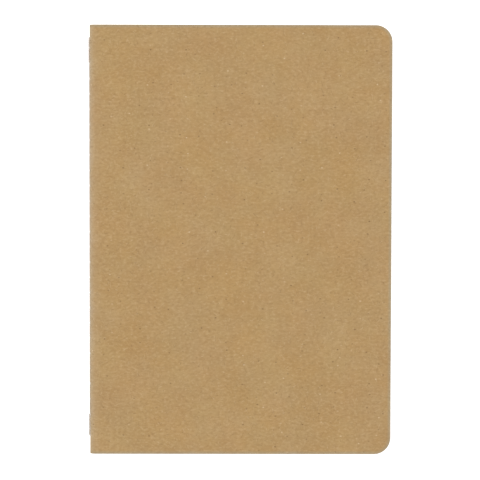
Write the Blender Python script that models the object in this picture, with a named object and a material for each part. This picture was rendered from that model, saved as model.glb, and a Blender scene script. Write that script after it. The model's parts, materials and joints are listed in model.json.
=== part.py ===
"""Pocket notebook, closed and lying on its back cover.

Twelve sheets are folded once into one signature, wrapped in a folded card
cover and machine sewn through the fold. Each sheet is one leaf in front of the
stitching and one behind it, and every leaf turns about the stitched line.
Sizes are in millimetres, measured from that line: x towards the fore edge,
y towards the head, z towards the front cover.
"""

import math

import bmesh
import bpy

MM = 0.001
SHARP_ANGLE = math.radians(61)

# the trimmed book
HEIGHT = 148.0
WIDTH = 104.0
CORNER_RADIUS = 5.7
CORNER_STEPS = 8

# paper and card
SHEETS = 12
LEAF_THICKNESS = 0.10
LEAF_GAP = 0.025
COVER_THICKNESS = 0.40
CREASE_GAP = 0.02
FOLD_STEPS = 6

# sewing
THREAD = 0.20
THREAD_SIDES = 6
THREAD_GAP = 0.01
THREAD_ROOM = 0.07
STITCH = 5.27
HEAD_TO_FIRST_HOLE = 4.4
HEAD_TO_SECOND_HOLE = 7.83
HEAD_TO_EVEN_STITCHES = 13.1
LAST_STITCH = 2.2
TAIL_CLEAR = 6.0
STRAND_GAP = 0.04
HOLE_ROOM = 0.03
LOCK_SHARE = 0.7

# sizes that follow from the ones above
COVER_FACE = THREAD + 1.5 * THREAD_GAP
CORE_RADIUS = THREAD / 2 + THREAD_ROOM
LEAF_PITCH = LEAF_THICKNESS + LEAF_GAP
COVER_RADIUS = CORE_RADIUS + SHEETS * LEAF_PITCH
HALF_THICKNESS = COVER_RADIUS + COVER_THICKNESS
FOLD_CENTRE = COVER_FACE + HALF_THICKNESS
FORE_EDGE = COVER_FACE + WIDTH
STRAND_OFFSET = (THREAD + THREAD_GAP) / 2
THREAD_REACH = STRAND_OFFSET + THREAD / 2
HOLE_HALF_WIDTH = THREAD + STRAND_GAP / 2 + HOLE_ROOM
HOLE_HALF_HEIGHT = THREAD / 2 + HOLE_ROOM
LOCK_LINE = COVER_FACE + LOCK_SHARE * COVER_THICKNESS

# the stitched line, with the whole book centred on the origin and standing on z = 0
STITCHED_LINE = ((THREAD_REACH - FORE_EDGE) / 2 * MM, 0.0, HALF_THICKNESS * MM)


def needle_holes():
    """Heights of the needle holes, head to tail: an even row with a short stitch at each end."""
    row = HEIGHT - HEAD_TO_EVEN_STITCHES - LAST_STITCH - TAIL_CLEAR
    even = [HEAD_TO_EVEN_STITCHES + i * STITCH for i in range(int(row / STITCH) + 1)]
    down = [HEAD_TO_FIRST_HOLE, HEAD_TO_SECOND_HOLE, *even, even[-1] + LAST_STITCH]
    return [HEIGHT / 2 - d for d in down]


def material(name, colour, roughness):
    made = bpy.data.materials.new(name)
    made.use_nodes = True
    shader = made.node_tree.nodes["Principled BSDF"]
    shader.inputs["Base Color"].default_value = (*colour, 1.0)
    shader.inputs["Roughness"].default_value = roughness
    shader.inputs["Metallic"].default_value = 0.0
    made.diffuse_color = (*colour, 1.0)
    return made


class Solid:
    """Flat faces, each given by its corners, that close into one body."""

    def __init__(self):
        self.mesh = bmesh.new()
        self.corners = {}

    def corner(self, point):
        key = tuple(round(c, 7) for c in point)
        if key not in self.corners:
            self.corners[key] = self.mesh.verts.new([c * MM for c in point])
        return self.corners[key]

    def face(self, points):
        self.mesh.faces.new([self.corner(p) for p in points])

    def place(self, name, look):
        """The finished object, smooth where it is round, with its origin on the stitched line."""
        bmesh.ops.recalc_face_normals(self.mesh, faces=self.mesh.faces)
        data = bpy.data.meshes.new(name)
        self.mesh.to_mesh(data)
        self.mesh.free()
        data.materials.append(look)
        data.shade_smooth()
        data.set_sharp_from_angle(angle=SHARP_ANGLE)
        piece = bpy.data.objects.new(name, data)
        piece.location = STITCHED_LINE
        bpy.context.collection.objects.link(piece)
        return piece


def split(points, height):
    """A rising row of (x, z) points, cut in two at a height."""
    for i, ((x, z), (next_x, next_z)) in enumerate(zip(points, points[1:])):
        if z <= height < next_z:
            share = (height - z) / (next_z - z)
            cut = (x + share * (next_x - x), height)
            return points[: i + 1] + [cut], [cut] + points[i + 1 :]
    raise ValueError(f"the fold does not reach {height} mm")


def fold_face(radius):
    """One face of a folded sheet from its crease round to where it lies flat, below and above the holes' edge."""
    turn = [math.pi / 2 * i / FOLD_STEPS for i in range(FOLD_STEPS + 1)]
    arc = [(FOLD_CENTRE - radius * math.cos(a), radius * math.sin(a)) for a in turn]
    _, from_crease = split(arc, CREASE_GAP / 2)
    return split(from_crease, HOLE_HALF_HEIGHT)


def outline():
    """The flat part of a leaf or cover seen from the front, with its two round corners."""
    inset = FORE_EDGE - CORNER_RADIUS
    turn = [math.pi / 2 * i / CORNER_STEPS for i in range(CORNER_STEPS + 1)]
    corner = [
        (inset + CORNER_RADIUS * math.sin(a), CORNER_RADIUS * (1 - math.cos(a)))
        for a in turn
    ]
    tail = [(x, y - HEIGHT / 2) for x, y in corner]
    head = [(x, HEIGHT / 2 - y) for x, y in reversed(corner)]
    return [(FOLD_CENTRE, -HEIGHT / 2), *tail, *head, (FOLD_CENTRE, HEIGHT / 2)]


def add_flat_part(solid, levels, side):
    """The flat page or panel: two faces and the trimmed edge, open towards the fold."""
    shape = outline()
    low, high = levels
    for level in levels:
        solid.face([(x, y, side * level) for x, y in shape])
    for (x, y), (next_x, next_y) in zip(shape, shape[1:]):
        solid.face(
            [
                (x, y, side * low),
                (next_x, next_y, side * low),
                (next_x, next_y, side * high),
                (x, y, side * high),
            ]
        )


def add_strip(solid, lower, upper, ys, side):
    """A flat strip along the fold between two (x, z) points, with a corner at every y on its lower edge."""
    solid.face(
        [(lower[0], y, side * lower[1]) for y in ys]
        + [(upper[0], y, side * upper[1]) for y in (ys[-1], ys[0])]
    )


def add_fold(solid, levels, side):
    """The quarter round from the flat part to the crease, notched by half of every needle hole."""
    (in_low, in_high), (out_low, out_high) = (fold_face(r) for r in levels)
    edges = [-HEIGHT / 2]
    for y in reversed(needle_holes()):
        edges += [y - HOLE_HALF_WIDTH, y + HOLE_HALF_WIDTH]
    edges.append(HEIGHT / 2)
    for high in (in_high, out_high):
        add_strip(solid, high[0], high[1], edges, side)
        for lower, upper in zip(high[1:], high[2:]):
            add_strip(solid, lower, upper, (edges[0], edges[-1]), side)
    for ys in zip(edges[0::2], edges[1::2]):
        add_strip(solid, in_low[0], out_low[0], ys, side)
        for low in (in_low, out_low):
            for lower, upper in zip(low, low[1:]):
                add_strip(solid, lower, upper, ys, side)
    for ys in zip(edges[1:-1:2], edges[2:-1:2]):
        add_strip(solid, in_low[-1], out_low[-1], ys, side)
    below = in_low + out_low[::-1]
    for y in edges[1:-1]:
        solid.face([(x, y, side * z) for x, z in below])
    whole = in_low[:-1] + in_high + out_high[::-1] + out_low[-2::-1]
    for y in (edges[0], edges[-1]):
        solid.face([(x, y, side * z) for x, z in whole])


def half_sheet(name, radius, thickness, side, look):
    """A leaf or cover panel with its half of the fold. side is 1 in front of the stitching and -1 behind it."""
    solid = Solid()
    levels = (radius, radius + thickness)
    add_flat_part(solid, levels, side)
    add_fold(solid, levels, side)
    return solid.place(name, look)


def dip(hole, run, bottom):
    """The four corners a strand makes going into a needle hole and out again, head side first."""
    reach = (THREAD + STRAND_GAP) / 2
    return [
        (run, hole + reach),
        (bottom, hole + reach),
        (bottom, hole - reach),
        (run, hole - reach),
    ]


def outer_route():
    """The strand along the spine: laid double over the first and last stitches, with its ends cut there."""
    holes = needle_holes()
    bottom = LOCK_LINE - STRAND_OFFSET
    row = [point for hole in holes for point in dip(hole, STRAND_OFFSET, bottom)]
    back_at_head = [(-STRAND_OFFSET, holes[2]), (-STRAND_OFFSET, row[0][1])]
    back_at_tail = [(-STRAND_OFFSET, row[-1][1]), (-STRAND_OFFSET, holes[-3])]
    return back_at_head + row[1:-1] + back_at_tail


def inner_route():
    """The strand in the middle fold, which reaches out through every sheet to lock with the outer one."""
    bottom = LOCK_LINE + STRAND_OFFSET
    row = [point for hole in needle_holes() for point in dip(hole, FOLD_CENTRE, bottom)]
    return row[1:-1]


def direction(start, end):
    length = math.dist(start, end)
    return (end[0] - start[0]) / length, (end[1] - start[1]) / length


def mitre(before, at, after):
    """Half a strand's width across a corner of its route, as an (x, y) step."""
    (ax, ay), (bx, by) = direction(before, at), direction(at, after)
    scale = THREAD / 2 / (1 + ax * bx + ay * by)
    return -(ay + by) * scale, (ax + bx) * scale


def thread(name, route, look):
    """A round strand swept along a route of straight runs in the plane of the crease."""
    start, end = direction(*route[:2]), direction(*route[-2:])
    across = [
        (-start[1] * THREAD / 2, start[0] * THREAD / 2),
        *(mitre(*three) for three in zip(route, route[1:], route[2:])),
        (-end[1] * THREAD / 2, end[0] * THREAD / 2),
    ]
    turn = [2 * math.pi * i / THREAD_SIDES for i in range(THREAD_SIDES)]
    rings = [
        [
            (x + dx * math.cos(a), y + dy * math.cos(a), THREAD / 2 * math.sin(a))
            for a in turn
        ]
        for (x, y), (dx, dy) in zip(route, across)
    ]
    solid = Solid()
    for ring, following in zip(rings, rings[1:]):
        for i in range(THREAD_SIDES):
            j = (i + 1) % THREAD_SIDES
            solid.face([ring[i], ring[j], following[j], following[i]])
    solid.face(rings[0])
    solid.face(rings[-1])
    return solid.place(name, look)


def clear():
    for thing in list(bpy.data.objects):
        bpy.data.objects.remove(thing)


def build():
    kraft = material("kraft_card", (0.451, 0.287, 0.133), 0.85)
    paper = material("uncoated_paper", (0.86, 0.83, 0.76), 0.9)
    cotton = material("sewing_thread", (0.56, 0.47, 0.36), 0.7)

    half_sheet("front_cover", COVER_RADIUS, COVER_THICKNESS, 1, kraft)
    half_sheet("back_cover", COVER_RADIUS, COVER_THICKNESS, -1, kraft)
    for sheet in range(1, SHEETS + 1):
        radius = CORE_RADIUS + (SHEETS - sheet) * LEAF_PITCH
        behind = 2 * SHEETS + 1 - sheet
        half_sheet(f"leaf_{sheet:02d}", radius, LEAF_THICKNESS, 1, paper)
        half_sheet(f"leaf_{behind:02d}", radius, LEAF_THICKNESS, -1, paper)
    thread("outer_thread", outer_route(), cotton)
    thread("inner_thread", inner_route(), cotton)


clear()
build()
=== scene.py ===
import json
import math
import random

import bmesh
import bpy
from mathutils import Matrix, Vector

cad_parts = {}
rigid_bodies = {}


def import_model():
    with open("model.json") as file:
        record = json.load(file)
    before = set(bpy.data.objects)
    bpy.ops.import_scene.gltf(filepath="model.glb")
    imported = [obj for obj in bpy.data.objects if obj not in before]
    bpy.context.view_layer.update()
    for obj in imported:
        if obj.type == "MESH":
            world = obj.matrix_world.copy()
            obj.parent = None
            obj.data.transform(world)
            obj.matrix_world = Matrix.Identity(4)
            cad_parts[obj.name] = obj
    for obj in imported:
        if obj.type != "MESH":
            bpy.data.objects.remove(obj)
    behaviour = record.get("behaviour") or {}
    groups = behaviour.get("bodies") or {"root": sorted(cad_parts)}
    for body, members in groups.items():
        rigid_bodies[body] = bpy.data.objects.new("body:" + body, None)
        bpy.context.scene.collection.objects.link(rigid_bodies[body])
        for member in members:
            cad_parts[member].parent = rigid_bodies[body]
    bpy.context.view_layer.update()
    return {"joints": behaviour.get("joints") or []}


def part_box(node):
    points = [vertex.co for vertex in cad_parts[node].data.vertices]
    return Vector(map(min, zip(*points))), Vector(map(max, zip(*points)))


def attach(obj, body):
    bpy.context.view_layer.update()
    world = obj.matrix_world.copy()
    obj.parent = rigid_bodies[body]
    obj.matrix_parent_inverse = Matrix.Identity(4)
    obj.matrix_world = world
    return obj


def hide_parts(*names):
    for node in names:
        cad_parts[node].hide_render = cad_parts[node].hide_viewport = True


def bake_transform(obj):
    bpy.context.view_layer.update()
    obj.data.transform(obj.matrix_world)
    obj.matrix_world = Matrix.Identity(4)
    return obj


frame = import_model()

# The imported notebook. Every piece is placed by it, in millimetres from the line of the sewing:
# x towards the fore edge, y towards the head, z towards the front cover.
MM = 0.001
stitched_line = frame["joints"][0]["pos_m"]


def box_from_line(node):
    return [[(c - o) / MM for c, o in zip(corner, stitched_line)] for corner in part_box(node)]


(cover_crease, tail, _), (fore_edge, head, cover_radius) = box_from_line("front_cover")
fold_centre = cover_crease + cover_radius


# The sheets: twelve leaves in front of the sewing and twelve behind it, of uncoated book paper.
# Each sheet is folded once round the ones inside it, and the block is trimmed after sewing, so
# the two round corners and the three edges are cut through all the leaves at once.
PAPER = 0.10
SHEETS = 12
TRIMMED_CORNER = 5.7
CORNER_STEPS = 20
FLAT_STRIP = 0.6
FOLD_STEPS = 12
PRESSED = 0.93
TRIM_SCATTER = 0.035
CREASE_PITCH = math.radians(0.65)
CREASE_PAPER = math.radians(0.5)
INNER_REACH = 0.272
REACH_AT_HOLE = 0.42
SETTLED_AT = 16.0
SETTLE_STEPS = 8
FIRST_HOLES = (4.4, 7.83)
EVEN_HOLES_FROM = 13.1
STITCH = 5.27
EVEN_HOLES = 25
LAST_STITCH = 2.2
HOLE_HALF_WIDTH = 0.27
SMOOTH_BELOW = math.radians(20)

even_holes = [EVEN_HOLES_FROM + i * STITCH for i in range(EVEN_HOLES)]
holes = [head - d for d in (*FIRST_HOLES, *even_holes, even_holes[-1] + LAST_STITCH)]


class Shape:
    """Faces between corners in millimetres, which keep their place on the unfolded sheet too."""

    def __init__(self):
        self.mesh = bmesh.new()
        self.unfolded = self.mesh.verts.layers.float_vector.new("unfolded")
        self.corners = {}

    def corner(self, point, place=None):
        key = tuple(round(c, 6) for c in point)
        if key not in self.corners:
            made = self.mesh.verts.new([o + c * MM for o, c in zip(stitched_line, point)])
            made[self.unfolded] = place or point
            self.corners[key] = made
        return self.corners[key]

    def face(self, points):
        found = []
        for point in points:
            corner = self.corner(*point)
            if corner not in found:
                found.append(corner)
        if len(found) > 2:
            self.mesh.faces.new(found)

    def piece(self, name, finish):
        bmesh.ops.recalc_face_normals(self.mesh, faces=self.mesh.faces)
        data = bpy.data.meshes.new(name)
        self.mesh.to_mesh(data)
        self.mesh.free()
        data.materials.append(finish)
        data.shade_smooth()
        data.set_sharp_from_angle(angle=SMOOTH_BELOW)
        made = bpy.data.objects.new(name, data)
        bpy.context.scene.collection.objects.link(made)
        return made


def trimmed_outline(start, inset=0.0):
    """A leaf seen from the front: from its fold round the two trimmed corners and back."""
    edge, radius = fore_edge - inset, TRIMMED_CORNER - inset
    low, high = tail + inset, head - inset
    turns = [math.pi / 2 * i / CORNER_STEPS for i in range(CORNER_STEPS + 1)]
    round_tail = [
        (edge - radius + radius * math.sin(a), low + radius * (1 - math.cos(a))) for a in turns
    ]
    round_head = [(x, low + high - y) for x, y in reversed(round_tail)]
    return [(start, low), *round_tail, *round_head, (start, high)]


def hole_edges(low, high):
    """Heights along the fold, tail to head: its two ends and both edges of every needle hole."""
    edges = [low]
    for y in reversed(holes):
        edges += [y - HOLE_HALF_WIDTH, y + HOLE_HALF_WIDTH]
    return [*edges, high]


def leaf(name, radius, settled, depth, side, finish, inset):
    """One leaf: the page, its quarter round, and the pressed crease that reaches to the sewing.

    Beyond the swell of the thread the page settles evenly between its neighbours.
    """
    steep = CREASE_PITCH * depth
    shallow = steep - CREASE_PAPER
    shape = Shape()

    def at(x, y, z):
        return ((x, y, side * z),)

    def band(one, two, y, y2):
        """A face that runs along the fold between two (x, z) corners."""
        (x, z), (x2, z2) = one, two
        shape.face([at(x, y, z), at(x, y2, z), at(x2, y2, z2), at(x2, y, z2)])

    def fold_row(r, crease):
        """From where the sheet lies flat down to the crease, as (x, z)."""
        end = (fold_centre - PRESSED * r) * math.tan(crease)
        low = math.asin(end / r)
        turns = [low + (math.pi / 2 - low) * i / FOLD_STEPS for i in range(FOLD_STEPS + 1)]
        turns.reverse()
        return [(fold_centre - PRESSED * r * math.cos(a), r * math.sin(a)) for a in turns]

    inner, outer = fold_row(radius, shallow), fold_row(radius + PAPER, steep)
    flat = fold_centre + FLAT_STRIP
    low, high = tail + inset, head - inset
    slope_in = []
    for i in range(SETTLE_STEPS, -1, -1):
        t = i / SETTLE_STEPS
        z = radius + (settled - radius) * t * t * (3 - 2 * t)
        slope_in.append((flat + t * (SETTLED_AT - FLAT_STRIP), z))
    slope_out = [(x, z + PAPER) for x, z in slope_in]

    outline = trimmed_outline(slope_in[0][0], inset)
    raised = settled + PAPER
    for level in (settled, raised):
        shape.face([at(x, y, level) for x, y in outline])
    for (x, y), (x2, y2) in zip(outline, outline[1:]):
        shape.face([at(x, y, settled), at(x2, y2, settled), at(x2, y2, raised), at(x, y, raised)])
    for row in ([*slope_in, *inner], [*slope_out, *outer]):
        for one, two in zip(row, row[1:]):
            band(one, two, low, high)
    for y in (low, high):
        for section in zip(slope_in, slope_in[1:], slope_out[1:], slope_out):
            shape.face([at(x, y, z) for x, z in section])

    edges = hole_edges(low, high)
    tip, root = (
        [(x, x * math.tan(slope)) for slope in (shallow, steep)]
        for x in (INNER_REACH, REACH_AT_HOLE)
    )
    for (x, z), (root_x, root_z) in zip((inner[-1], outer[-1]), root):
        along_holes = [at(root_x, y, root_z) for y in reversed(edges)]
        shape.face([at(x, low, z), at(x, high, z), *along_holes])
    for y, y2 in zip(edges[0::2], edges[1::2]):
        for one, two in (*zip(tip, root), tip):
            band(one, two, y, y2)
    for y in edges[1:-1]:
        shape.face([at(x, y, z) for x, z in (*tip, *reversed(root))])
    for y, y2 in zip(edges[1:-1:2], edges[2:-1:2]):
        band(*root, y, y2)
    lower, upper = [(flat, inner[0][1]), *inner], [*reversed(outer), (flat, outer[0][1])]
    for y in (low, high):
        section = [*lower, root[0], *tip, root[1], *upper]
        shape.face([at(x, y, z) for x, z in section])
    return shape.piece(name, finish)


class Wire:
    """A socket of a finish, written into sums like a number."""

    def __init__(self, finish, socket):
        self.finish, self.socket = finish, socket

    def _maths(self, operation, *values):
        return self.finish.node(
            "ShaderNodeMath", {"operation": operation}, dict(enumerate(values))
        )

    def __add__(self, other):
        return self._maths("ADD", self, other)

    def __sub__(self, other):
        return self._maths("SUBTRACT", self, other)

    def __mul__(self, other):
        return self._maths("MULTIPLY", self, other)

    def __rsub__(self, other):
        return self._maths("SUBTRACT", other, self)

    __radd__ = __add__
    __rmul__ = __mul__

    def __abs__(self):
        return self._maths("ABSOLUTE", self)

    def __lt__(self, other):
        return self._maths("LESS_THAN", self, other)

    def cosine(self):
        return self._maths("COSINE", self)

    def sine(self):
        return self._maths("SINE", self)


class Finish:
    """A material made of nodes, starting from its shader."""

    def __init__(self, name, **constants):
        self.material = bpy.data.materials.new(name)
        self.material.use_nodes = True
        self.tree = self.material.node_tree
        self.shader = self.tree.nodes["Principled BSDF"]
        for socket, value in constants.items():
            self.shader.inputs[socket.replace("_", " ")].default_value = value

    def node(self, kind, settings=(), inputs=(), output=0):
        """Any node: its settings, then the values or wires of its sockets. Gives one output."""
        made = self.tree.nodes.new(kind)
        for key, value in dict(settings).items():
            setattr(made, key, value)
        for key, value in dict(inputs).items():
            self.put(made.inputs[key], value)
        return Wire(self, made.outputs[output])

    def put(self, socket, value):
        if isinstance(value, Wire):
            self.tree.links.new(value.socket, socket)
        else:
            socket.default_value = value

    def vector(self, operation, *values, output=0):
        return self.node(
            "ShaderNodeVectorMath", {"operation": operation}, dict(enumerate(values)), output
        )

    def scaled(self, vector, amount):
        return self.node(
            "ShaderNodeVectorMath", {"operation": "SCALE"}, {0: vector, "Scale": amount}
        )

    def part(self, kind, value, index):
        """One number out of a vector or a colour."""
        return self.node(f"ShaderNodeSeparate{kind}", inputs={0: value}, output=index)

    def millimetres(self):
        """Where a point of the surface is on the object, in millimetres."""
        place = self.node("ShaderNodeTexCoord", output="Object")
        return self.scaled(place, 1 / MM)

    def clouds(self, vector, size, detail=2.0, rough=0.5, output=0):
        """Soft random patches of about that size in millimetres, around 0.5."""
        return self.node(
            "ShaderNodeTexNoise",
            inputs={"Vector": vector, "Scale": 1 / size, "Detail": detail, "Roughness": rough},
            output=output,
        )

    def ramp(self, value, low, high, to_low=0.0, to_high=1.0, smooth=True):
        kind = {"interpolation_type": "SMOOTHSTEP" if smooth else "LINEAR"}
        limits = {1: low, 2: high, 3: to_low, 4: to_high}
        return self.node("ShaderNodeMapRange", kind, {0: value, **limits})

    def mixed(self, amount, first, second, how="MIX"):
        """Two colours, given as wires or linear values."""
        colours = [c if isinstance(c, Wire) else (*c, 1.0) for c in (first, second)]
        return self.node(
            "ShaderNodeMix",
            {"data_type": "RGBA", "blend_type": how},
            {0: amount, 6: colours[0], 7: colours[1]},
            output=2,
        )

    def surface(self, colour, roughness, height, depth):
        """What the shader shows. The relief stands as high as depth, in millimetres."""
        self.put(self.shader.inputs["Base Color"], colour)
        self.put(self.shader.inputs["Roughness"], roughness)
        relief = self.node("ShaderNodeBump", inputs={"Height": height, "Distance": depth * MM})
        self.put(self.shader.inputs["Normal"], relief)


PAPER_WHITE = (0.83, 0.80, 0.725)
PAPER_DEEP = (0.76, 0.725, 0.64)
PAPER_RELIEF = 0.02
LEAF_BY_LEAF = (0.02, 0.02, 7.0)

paper = Finish("book_paper", Specular_IOR_Level=0.25)
spot = paper.millimetres()
paper_formation = paper.clouds(spot, size=1.8, detail=4.0, rough=0.6)
paper_tooth = paper.clouds(spot, size=0.22, detail=3.0, rough=0.6)
leaf_by_leaf = paper.clouds(paper.vector("MULTIPLY", spot, LEAF_BY_LEAF), size=1.0, detail=0.0)
paper_shade = (
    paper.ramp(paper_formation, 0.3, 0.7) * 0.22
    + paper.ramp(paper_tooth, 0.25, 0.75) * 0.25
    + paper.ramp(leaf_by_leaf, 0.3, 0.7) * 0.35
)
paper.surface(
    paper.mixed(paper_shade, PAPER_WHITE, PAPER_DEEP),
    paper.ramp(paper_tooth, 0.2, 0.8, to_low=0.8, to_high=0.95),
    paper_tooth * 0.7 + paper_formation * 0.6,
    PAPER_RELIEF,
)

scatter = random.Random(12)
outermost, next_in = (box_from_line(node)[1][2] for node in ("leaf_01", "leaf_02"))
inside_cover = outermost + (outermost - next_in) - PAPER
air = (inside_cover - SHEETS * PAPER) / (SHEETS + 0.5)
for number in range(1, 2 * SHEETS + 1):
    node = f"leaf_{number:02d}"
    side = 1 if number <= SHEETS else -1
    low_corner, high_corner = box_from_line(node)
    radius = (high_corner[2] if side > 0 else -low_corner[2]) - PAPER
    depth = SHEETS + 1 - number if side > 0 else number - SHEETS
    settled = air / 2 + (depth - 1) * (PAPER + air)
    trim = scatter.uniform(0, TRIM_SCATTER)
    page = leaf(f"page_{number:02d}", radius, settled, depth, side, paper.material, trim)
    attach(page, node)
    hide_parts(node)


# The cover: one piece of unlined kraft card folded round the sheets, with the same trimmed corners.
# The sewing pulls the fold in at every needle hole. Its colour turns paler along the spine, greyer
# on the steep part of the fold, and greyer towards the cut edges.
CARD = 0.40
CREASE_SLOPE = math.radians(8.4)
HOLE_HALF_HEIGHT = 0.15
PULLED_IN = 0.11
PULL_WIDTH = 0.8
COVER_FOLD_STEPS = 16
ROUND_HOLE = (-1.0, -0.85, -0.6, -0.3, 0.0, 0.3, 0.6, 0.85, 1.0)
AROUND_HOLE = (0.45, 0.65, 0.9, 1.3)
NARROWEST_COLUMN = 0.03
SOFT_EDGE = 0.07
SQUARE_EDGE = math.radians(80)
CLEAR_OF_FOLD = 0.7
MARGIN = 0.01


def cover_half(name, side, finish):
    """The front or back panel with its half of the rounded fold."""
    shape = Shape()
    columns = {tail, head}
    for y in holes:
        columns |= {y + HOLE_HALF_WIDTH * s for s in ROUND_HOLE}
        columns |= {y + s * d for d in AROUND_HOLE for s in (-1, 1)}
    ordered = []
    for y in sorted(columns):
        if not ordered or y - ordered[-1] > NARROWEST_COLUMN:
            ordered.append(y)
    ordered[-1] = head

    def hole_edge(y):
        near = min(abs(y - h) for h in holes) / HOLE_HALF_WIDTH
        return HOLE_HALF_HEIGHT * math.sqrt(max(0.0, 1 - near * near))

    def pulled(y):
        return PULLED_IN * max(math.exp(-((y - h) / PULL_WIDTH) ** 2) for h in holes)

    def column(radius, y):
        """From the crease round to the flat panel at one height, each point with its place."""
        crease = (fold_centre - radius) * math.tan(CREASE_SLOPE)
        low = math.asin(max(crease, hole_edge(y)) / radius)
        rows = []
        for i in range(COVER_FOLD_STEPS + 1):
            a = low + (math.pi / 2 - low) * i / COVER_FOLD_STEPS
            x = fold_centre - radius * math.cos(a) + pulled(y) * math.cos(a) ** 4
            place = (side * cover_radius * a, y, cover_radius - radius)
            rows.append(((x, y, side * radius * math.sin(a)), place))
        return rows

    def on_flat(x, y, radius):
        along = side * (cover_radius * math.pi / 2 + x - fold_centre)
        return (x, y, side * radius), (along, y, cover_radius - radius)

    def at_cut_edge(corner):
        """Whether a corner is out where the card was trimmed, and clear of the fold."""
        x, y = (corner.co.x - stitched_line[0]) / MM, abs(corner.co.y) / MM
        trimmed = max(y - head, x - fore_edge) > -TRIMMED_CORNER - MARGIN
        return trimmed and x > CLEAR_OF_FOLD

    flat = fold_centre + FLAT_STRIP
    outline = trimmed_outline(flat)
    levels = (cover_radius - CARD, cover_radius)
    inner, outer = ([column(radius, y) for y in ordered] for radius in levels)
    for radius, rows in zip(levels, (inner, outer)):
        shape.face([on_flat(x, y, radius) for x, y in outline])
        shape.face([c[-1] for c in rows] + [on_flat(flat, y, radius) for y in (head, tail)])
        for one, two in zip(rows, rows[1:]):
            for i in range(COVER_FOLD_STEPS):
                shape.face([one[i], two[i], two[i + 1], one[i + 1]])
    for one, two in zip(outline, outline[1:]):
        inside, outside = ([on_flat(x, y, level) for x, y in (one, two)] for level in levels)
        shape.face([*inside, *reversed(outside)])
    for i in range(len(ordered) - 1):
        shape.face([inner[i][0], inner[i + 1][0], outer[i + 1][0], outer[i][0]])
    for i, y in ((0, tail), (-1, head)):
        ends = [on_flat(flat, y, level) for level in levels]
        shape.face([*inner[i], *ends, *reversed(outer[i])])

    bmesh.ops.recalc_face_normals(shape.mesh, faces=shape.mesh.faces)
    rim = [
        edge
        for edge in shape.mesh.edges
        if all(at_cut_edge(c) for c in edge.verts) and edge.calc_face_angle(0.0) > SQUARE_EDGE
    ]
    bmesh.ops.bevel(
        shape.mesh, geom=rim, offset=SOFT_EDGE * MM, segments=2, profile=0.5, affect="EDGES"
    )
    return shape.piece(name, finish)


KRAFT = (0.4535, 0.3015, 0.142)
KRAFT_DARK = (0.33, 0.20, 0.085)
KRAFT_PALE = (0.60, 0.43, 0.24)
FIBRE_DARK = (0.21, 0.125, 0.055)
FIBRE_PALE = (0.74, 0.56, 0.36)
SPINE_PALE = (0.52, 0.42, 0.31)
FOLD_GREY = (0.46, 0.385, 0.29)
CUT_EDGE = (0.40, 0.33, 0.225)
REDDENED = (1.0, 0.935, 0.86)
YELLOWED = (1.0, 1.0, 0.915)
CARD_RELIEF = 0.05
FELTED = (0.62, 1.0, 1.0)
SPECK_LENGTH = (0.7, 1.0, 1.0)
SPINE_PALE_TO = 5.8
FOLD_GREY_TO = 3.2
RIM_WIDTH = 1.4
RIM_CORE = 0.25

card = Finish("kraft_card", Specular_IOR_Level=0.2)
place = card.node("ShaderNodeAttribute", {"attribute_name": "unfolded"}, output="Vector")


def scattered(spot, cell, output):
    """One random point in each flat cell of that size."""
    cells = {"voronoi_dimensions": "2D"}
    return card.node(
        "ShaderNodeTexVoronoi", cells, {"Vector": spot, "Scale": 1 / cell}, output
    )


def fibres(length, width, cell, share, shift):
    """Loose fibres lying every way in the card, one at most in each cell, softly bent."""
    bend = card.scaled(card.clouds(place, length, detail=1.0, output="Color"), width * 3)
    spot = card.vector("ADD", card.vector("ADD", place, bend), (shift, shift * 1.7, 0.0))
    middle = scattered(spot, cell, "Position")
    chance = scattered(spot, cell, "Color")
    step = card.vector("SUBTRACT", spot, middle)
    dx, dy = (card.part("XYZ", step, i) for i in (0, 1))
    turn, luck, strength = (card.part("Color", chance, i) for i in (0, 1, 2))
    angle = turn * math.pi
    along = abs(dx * angle.cosine() + dy * angle.sine())
    across = abs(dy * angle.cosine() - dx * angle.sine())
    body = card.ramp(across, 0.3 * width, 0.75 * width, to_low=1.0, to_high=0.0)
    ends = card.ramp(along, 0.3 * length, 0.5 * length, to_low=1.0, to_high=0.0)
    return body * ends * (luck < share) * card.ramp(strength, 0.0, 1.0, to_low=0.35)


def specks(size, cell, share, shift):
    """Small shives and pulp knots, slightly longer than wide, one at most in each cell."""
    spot = card.vector("ADD", card.vector("MULTIPLY", place, SPECK_LENGTH), (shift, -shift, 0.0))
    ragged = card.scaled(card.clouds(place, size / 2.2, output="Color"), 0.6 * size)
    spot = card.vector("ADD", spot, ragged)
    away = scattered(spot, cell, "Distance") * cell
    chance = scattered(spot, cell, "Color")
    luck, strength = (card.part("Color", chance, i) for i in (0, 1))
    body = card.ramp(away, 0.2 * size, 0.6 * size, to_low=1.0, to_high=0.0)
    return body * (luck < share) * card.ramp(strength, 0.0, 1.0, to_low=0.3)


felted = card.vector("MULTIPLY", place, FELTED)
cloudy = card.clouds(place, size=14.0, detail=3.0, rough=0.6)
formation = card.clouds(felted, size=1.5, detail=3.0, rough=0.6)
flock_spot = card.vector("ADD", felted, (41.0, 17.0, 3.0))
warm_spot = card.vector("ADD", place, (7.0, 90.0, 0.0))
yellow_spot = card.vector("ADD", place, (60.0, 30.0, 0.0))
flocks = card.clouds(flock_spot, size=0.74, detail=2.5, rough=0.62)
warmth = card.clouds(warm_spot, size=17.0, detail=4.0, rough=0.68)
yellowing = card.clouds(yellow_spot, size=21.0, detail=4.0, rough=0.68)
grain = card.clouds(place, size=0.25, detail=2.0, rough=0.6)
long_dark = fibres(length=2.6, width=0.15, cell=3.3, share=0.42, shift=3.1)
short_dark = fibres(length=1.1, width=0.17, cell=1.9, share=0.42, shift=11.7)
long_pale = fibres(length=2.2, width=0.15, cell=3.1, share=0.4, shift=23.9)
short_pale = fibres(length=0.9, width=0.18, cell=2.1, share=0.35, shift=37.3)
shives = specks(size=0.5, cell=3.7, share=0.45, shift=51.3)
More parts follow.
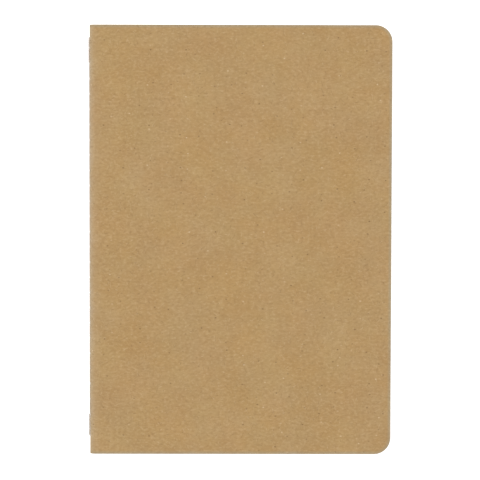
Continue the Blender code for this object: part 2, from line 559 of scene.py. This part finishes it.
knots = specks(size=0.5, cell=4.6, share=0.22, shift=67.9)

# Paler colour in patches along the spine, fading out about 6 mm from the crease, and greyer colour
# on the steep part of the fold nearer the crease.
across_fold = abs(card.part("XYZ", place, 0))
fold_patches = card.clouds(card.vector("MULTIPLY", place, (1.0, 0.5, 1.0)), 0.9, 3.0, 0.6)
paler_at_spine = card.ramp(across_fold, 0.8, SPINE_PALE_TO, to_low=1.0, to_high=0.0)
paler_at_spine = paler_at_spine * card.ramp(fold_patches, 0.25, 0.75, to_low=0.5)
greyer_on_fold = card.ramp(across_fold, 1.2, FOLD_GREY_TO, to_low=1.0, to_high=0.0)
greyer_on_fold = greyer_on_fold * card.ramp(fold_patches, 0.25, 0.75, to_low=1.0, to_high=0.7)
# The colour turns greyer towards the cut edges, from 1.4 mm inside them to full at 0.25 mm.
panel_reach = cover_radius * math.pi / 2 + fore_edge - fold_centre - TRIMMED_CORNER
into_corner = card.vector("ABSOLUTE", card.vector("MULTIPLY", place, (1.0, 1.0, 0.0)))
into_corner = card.vector("ADD", into_corner, (-panel_reach, TRIMMED_CORNER - head, 0.0))
into_corner = card.vector("MAXIMUM", into_corner, (0.0, 0.0, 0.0))
from_centre = card.vector("LENGTH", into_corner, output="Value")
at_rim = card.ramp(from_centre, TRIMMED_CORNER - RIM_WIDTH, TRIMMED_CORNER - RIM_CORE)

fine_kraft = card.mixed(card.ramp(formation, 0.25, 0.75, smooth=False), KRAFT_DARK, KRAFT_PALE)
body = card.mixed(0.24, KRAFT, fine_kraft)
# Paler along the spine and greyer on the steep part of the fold.
body = card.mixed(paler_at_spine * 0.46, body, SPINE_PALE)
body = card.mixed(greyer_on_fold * 0.66, body, FOLD_GREY)
body = card.mixed(at_rim * 0.9, body, CUT_EDGE)
body = card.mixed(card.ramp(cloudy, 0.3, 0.7, to_high=0.24), body, KRAFT_DARK)
body = card.mixed(card.ramp(warmth, 0.3, 0.7), body, REDDENED, "MULTIPLY")
body = card.mixed(card.ramp(yellowing, 0.3, 0.7), body, YELLOWED, "MULTIPLY")
body = card.mixed(card.ramp(flocks, 0.3, 0.5, to_low=0.38, to_high=0.0), body, KRAFT_DARK)
body = card.mixed(card.ramp(flocks, 0.5, 0.72, to_high=0.37), body, KRAFT_PALE)
body = card.mixed(card.ramp(grain, 0.3, 0.7, to_low=0.13, to_high=0.0), body, KRAFT_DARK)
for mask, strength, colour in (
    (long_dark, 0.3, FIBRE_DARK),
    (short_dark, 0.38, FIBRE_DARK),
    (long_pale, 0.2, FIBRE_PALE),
    (short_pale, 0.26, FIBRE_PALE),
    (shives, 0.8, FIBRE_DARK),
    (knots, 0.6, FIBRE_PALE),
):
    body = card.mixed(mask * strength, body, colour)
raised_fibres = (long_dark + long_pale + short_pale) * 0.25
card.surface(
    body,
    card.ramp(flocks, 0.25, 0.75, to_low=0.78, to_high=0.92),
    grain * 0.5 + formation * 0.6 + flocks * 0.6 + raised_fibres,
    CARD_RELIEF,
)

for name, side in (("back_cover", -1), ("front_cover", 1)):
    panel = cover_half(f"kraft_{name}", side, card.material)
    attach(panel, name)
    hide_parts(name)


# The creases: where two neighbouring leaves meet, a narrow strip of the folded paper or card runs
# round the sewing line from one to the other. It lies pressed flat in the closed fold. Each strip
# is a hair farther out than the one before, so that they nest.
INNERMOST_STRIP = 0.207
STRIP_NESTING = 0.001
STRIP_WIDTH = 0.04
STRIP_THICKNESS = 0.0016
STRIP_STEPS = 12


def crease_strip(reach, lean):
    """A thin closed length of strip between every two needle holes, as steep as its crease."""
    strip = Shape()

    def at(x, y, face):
        return ((x, y, x * math.tan(lean) + face * STRIP_THICKNESS / 2),)

    spans = hole_edges(tail + TRIM_SCATTER, head - TRIM_SCATTER)
    for y, y2 in zip(spans[0::2], spans[1::2]):
        for x, x2 in zip(reach, reach[1:]):
            for face in (-1, 1):
                strip.face([at(x, y, face), at(x2, y, face), at(x2, y2, face), at(x, y2, face)])
            for end in (y, y2):
                strip.face([at(x, end, -1), at(x2, end, -1), at(x2, end, 1), at(x, end, 1)])
        for x in (reach[0], reach[-1]):
            strip.face([at(x, y, -1), at(x, y2, -1), at(x, y2, 1), at(x, y, 1)])
    return strip


for order, joint in enumerate(frame["joints"]):
    below, above = joint["parent"], joint["child"]
    covered = "back_cover" in below or "front_cover" in above
    if below == "back_cover":
        lean = -(CREASE_SLOPE + CREASE_PITCH * SHEETS) / 2
    elif above == "front_cover":
        lean = (CREASE_SLOPE + CREASE_PITCH * SHEETS) / 2
    else:
        from_middle = SHEETS - int(above[-2:])
        lean = CREASE_PITCH * from_middle
        if from_middle:
            lean += math.copysign((CREASE_PITCH - CREASE_PAPER) / 2, from_middle)
    near = INNERMOST_STRIP + STRIP_NESTING * order
    reach = [near + STRIP_WIDTH * i / STRIP_STEPS for i in range(STRIP_STEPS + 1)]
    finish = card if covered else paper
    crease = crease_strip(reach, lean).piece(f"crease_{above}", finish.material)
    line_x, _, line_z = stitched_line
    line_x + reach[0] * MM
    line_x + reach[-1] * MM
    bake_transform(crease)


# The sewing: a three-ply cotton lockstitch through the fold. The outer strand runs down the spine,
# laid double over the first and last stitches where it is locked off and cut; the inner strand
# shows as a row of stitches in the middle of the book.
THREAD = 0.20
PLIES = 3
PLY = 0.105
PLY_SIDES = 6
TWIST = 0.85
SAMPLE = 0.085
BEND = 0.11
BEND_STEPS = 4
LEG = 0.12
OUTER_RUN = 0.105
LOCK = 0.30
STITCH_DIVE = 0.19


def thread_maker():
    """Turns a route of straight runs into twisted thread."""
    tree = bpy.data.node_groups.new("twisted_thread", "GeometryNodeTree")
    face = tree.interface
    face.new_socket("Geometry", in_out="INPUT", socket_type="NodeSocketGeometry")
    for label in ("Strand radius", "Ply radius", "Twist length", "Sample length", "Bend radius"):
        face.new_socket(label, in_out="INPUT", socket_type="NodeSocketFloat")
    face.new_socket("Plies", in_out="INPUT", socket_type="NodeSocketInt")
    face.new_socket("Finish", in_out="INPUT", socket_type="NodeSocketMaterial")
    face.new_socket("Geometry", in_out="OUTPUT", socket_type="NodeSocketGeometry")

    def node(kind, settings=(), inputs=()):
        made = tree.nodes.new(kind)
        for key, value in dict(settings).items():
            setattr(made, key, value)
        for key, value in dict(inputs).items():
            if isinstance(value, bpy.types.NodeSocket):
                tree.links.new(value, made.inputs[key])
            else:
                made.inputs[key].default_value = value
        return made.outputs

    def maths(operation, first, second):
        return node("ShaderNodeMath", {"operation": operation}, {0: first, 1: second})[0]

    def circle(points, radius):
        return node(
            "GeometryNodeCurvePrimitiveCircle", {"mode": "RADIUS"},
            {"Resolution": points, "Radius": radius},
        )["Curve"]

    given = tree.nodes.new("NodeGroupInput").outputs
    strand_radius, ply_radius = given["Strand radius"], given["Ply radius"]
    route = node("GeometryNodeMeshToCurve", inputs={"Mesh": given["Geometry"]})[0]
    bends = {"Radius": given["Bend radius"], "Limit Radius": True, "Count": BEND_STEPS}
    route = node("GeometryNodeFilletCurve", {"mode": "POLY"}, {"Curve": route, **bends})[0]
    route = node(
        "GeometryNodeResampleCurve", {"mode": "LENGTH"},
        {"Curve": route, "Length": given["Sample length"]},
    )[0]
    length = node("GeometryNodeSplineParameter")["Length"]
    turns = maths("DIVIDE", length, given["Twist length"])
    tilt = maths("MULTIPLY", turns, 2 * math.pi)
    route = node("GeometryNodeSetCurveTilt", inputs={"Curve": route, "Tilt": tilt})[0]

    ring = circle(PLY_SIDES, ply_radius)
    arms = circle(given["Plies"], maths("SUBTRACT", strand_radius, ply_radius))
    arms = node("GeometryNodeCurveToPoints", {"mode": "EVALUATED"}, {"Curve": arms})[0]
    bundle = node("GeometryNodeInstanceOnPoints", inputs={"Points": arms, "Instance": ring})[0]
    bundle = node("GeometryNodeRealizeInstances", inputs={"Geometry": bundle})[0]
    # Each point of the ply rings keeps how far it lies from the strand's core; the finish uses it
    # to paint shade into the grooves between the plies.
    at = node("GeometryNodeInputPosition")[0]
    away = node("ShaderNodeVectorMath", {"operation": "LENGTH"}, {0: at})["Value"]
    from_core = {"Name": "from_core", "Value": maths("DIVIDE", away, strand_radius)}
    bundle = node(
        "GeometryNodeStoreNamedAttribute", {"data_type": "FLOAT", "domain": "POINT"},
        {"Geometry": bundle, **from_core},
    )[0]
    swept = {"Curve": route, "Profile Curve": bundle, "Fill Caps": True}
    strand = node("GeometryNodeCurveToMesh", inputs=swept)[0]
    strand = node("GeometryNodeRealizeInstances", inputs={"Geometry": strand})[0]
    smooth = {"Geometry": strand, "Shade Smooth": True}
    strand = node("GeometryNodeSetShadeSmooth", inputs=smooth)[0]
    finished = {"Geometry": strand, "Material": given["Finish"]}
    strand = node("GeometryNodeSetMaterial", inputs=finished)[0]
    out = tree.nodes.new("NodeGroupOutput")
    tree.links.new(strand, out.inputs[0])
    return tree


def sewn(name, runs, finish, tree):
    """The thread along each run, as one plain mesh."""
    path = bpy.data.meshes.new(name + "_route")
    points, joins = [], []
    for run in runs:
        first = len(points)
        points += [[o + c * MM for o, c in zip(stitched_line, p)] for p in run]
        joins += [(i, i + 1) for i in range(first, len(points) - 1)]
    path.from_pydata(points, joins, [])
    route = bpy.data.objects.new(name + "_route", path)
    bpy.context.scene.collection.objects.link(route)
    maker = route.modifiers.new("thread", "NODES")
    maker.node_group = tree
    wanted = {
        "Strand radius": THREAD / 2 * MM,
        "Ply radius": PLY / 2 * MM,
        "Twist length": TWIST * MM,
        "Sample length": SAMPLE * MM,
        "Bend radius": BEND * MM,
        "Plies": PLIES,
        "Finish": finish,
    }
    for item in tree.interface.items_tree:
        if item.item_type == "SOCKET" and item.in_out == "INPUT" and item.name in wanted:
            maker[item.identifier] = wanted[item.name]
    graph = bpy.context.evaluated_depsgraph_get()
    graph.update()
    data = bpy.data.meshes.new_from_object(route.evaluated_get(graph))
    data.name = name
    bpy.data.objects.remove(route)
    made = bpy.data.objects.new(name, data)
    bpy.context.scene.collection.objects.link(made)
    return made


COTTON_PALE = (0.50, 0.42, 0.335)
COTTON_DEEP = (0.20, 0.15, 0.11)
COTTON_RELIEF = 0.01

cotton = Finish("sewing_cotton", Specular_IOR_Level=0.35, Sheen_Weight=0.2, Sheen_Roughness=0.5)
from_core = cotton.node("ShaderNodeAttribute", {"attribute_name": "from_core"}, output="Fac")
strand_spot = cotton.millimetres()
hairs = cotton.clouds(strand_spot, size=0.06, detail=2.0, rough=0.6)
soiling = cotton.clouds(strand_spot, size=2.5, detail=2.0)
# Darker towards the middle of the strand, where the plies meet: painted shade in the grooves
# between the plies. The fine hairs and the soiling vary the tone along it.
groove_shade_and_tone = cotton.ramp(from_core, 0.35, 0.95) * 0.65 + hairs * 0.25 + soiling * 0.15
cotton.surface(
    cotton.mixed(groove_shade_and_tone, COTTON_DEEP, COTTON_PALE),
    cotton.ramp(hairs, 0.3, 0.7, to_low=0.6, to_high=0.85),
    hairs,
    COTTON_RELIEF,
)

twisted = thread_maker()
dips = []
for y in holes:
    dips += [(OUTER_RUN, y + LEG), (LOCK, y + LEG), (LOCK, y - LEG), (OUTER_RUN, y - LEG)]
back_at_head = [(-OUTER_RUN, y) for y in (holes[2], dips[0][1])]
back_at_tail = [(-OUTER_RUN, y) for y in (dips[-1][1], holes[-3])]
spine_run = [(x, y, 0.0) for x, y in (*back_at_head, *dips[1:-1], *back_at_tail)]
spine_sewing = sewn("spine_sewing", [spine_run], cotton.material, twisted)
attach(spine_sewing, "back_cover")
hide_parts("outer_thread")

centre_runs = []
dive = fold_centre - STITCH_DIVE
for y, y2 in zip(holes, holes[1:]):
    centre_runs.append([
        (dive, y - LEG, -STITCH_DIVE),
        (fold_centre, y - LEG, 0.0),
        (fold_centre, y2 + LEG, 0.0),
        (dive, y2 + LEG, -STITCH_DIVE),
    ])
centre_sewing = sewn("centre_sewing", centre_runs, cotton.material, twisted)
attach(centre_sewing, "leaf_13")
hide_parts("inner_thread")


# The studio: a white table that glows a little, as a light table does, under a wide soft light
# from the upper left with a white room around it. The camera looks almost straight down, from
# slightly beyond the head.
TABLE_SIZE = 6.0
TABLE_DROP = 0.00003
ROOM_BRIGHTNESS = 0.52
LAMP_SIZE = 1.6
LAMP_WATTS = 43.0
LAMP_PLACE = (-0.5, 0.5, 2.5)
LENS = 130.63
FILM_WIDTH = 36.0
VIEW_FROM = (-0.001980, 0.025270, 0.603611)
VIEW_RIGHT = Vector((0.99999249, 0.00202802, 0.00330239))
VIEW_UP = Vector((-0.00188809, 0.99912274, -0.04183529))

half = TABLE_SIZE / 2
table_corners = [(-half, -half), (half, -half), (half, half), (-half, half)]
table_mesh = bpy.data.meshes.new("table")
table_mesh.from_pydata([(x, y, -TABLE_DROP) for x, y in table_corners], [], [(0, 1, 2, 3)])
white = Finish("white_table", Roughness=0.9, Specular_IOR_Level=0.1, Emission_Strength=0.5)
white.shader.inputs["Base Color"].default_value = (0.9, 0.9, 0.9, 1.0)
white.shader.inputs["Emission Color"].default_value = (1.0, 1.0, 1.0, 1.0)
table_mesh.materials.append(white.material)
table = bpy.data.objects.new("table", table_mesh)
bpy.context.scene.collection.objects.link(table)

room = bpy.data.worlds.new("white_room")
room.use_nodes = True
room.node_tree.nodes["Background"].inputs["Color"].default_value = (1.0, 1.0, 1.0, 1.0)
room.node_tree.nodes["Background"].inputs["Strength"].default_value = ROOM_BRIGHTNESS
bpy.context.scene.world = room

lamp = bpy.data.lights.new("soft_box", "AREA")
lamp.shape = "SQUARE"
lamp.size = LAMP_SIZE
lamp.energy = LAMP_WATTS
soft_box = bpy.data.objects.new("soft_box", lamp)
soft_box.location = LAMP_PLACE
soft_box.rotation_mode = "QUATERNION"
soft_box.rotation_quaternion = (-soft_box.location).to_track_quat("-Z", "Y")
bpy.context.scene.collection.objects.link(soft_box)

camera = bpy.data.cameras.new("camera")
camera.lens = LENS
camera.sensor_width = FILM_WIDTH
camera.clip_start = 0.01
camera.clip_end = 20.0
viewer = bpy.data.objects.new("camera", camera)
viewer.location = VIEW_FROM
turned = Matrix((VIEW_RIGHT, VIEW_UP, VIEW_RIGHT.cross(VIEW_UP))).transposed()
viewer.rotation_mode = "QUATERNION"
viewer.rotation_quaternion = turned.to_quaternion()
bpy.context.scene.collection.objects.link(viewer)
bpy.context.scene.camera = viewer
bpy.context.scene.view_settings.view_transform = "Standard"
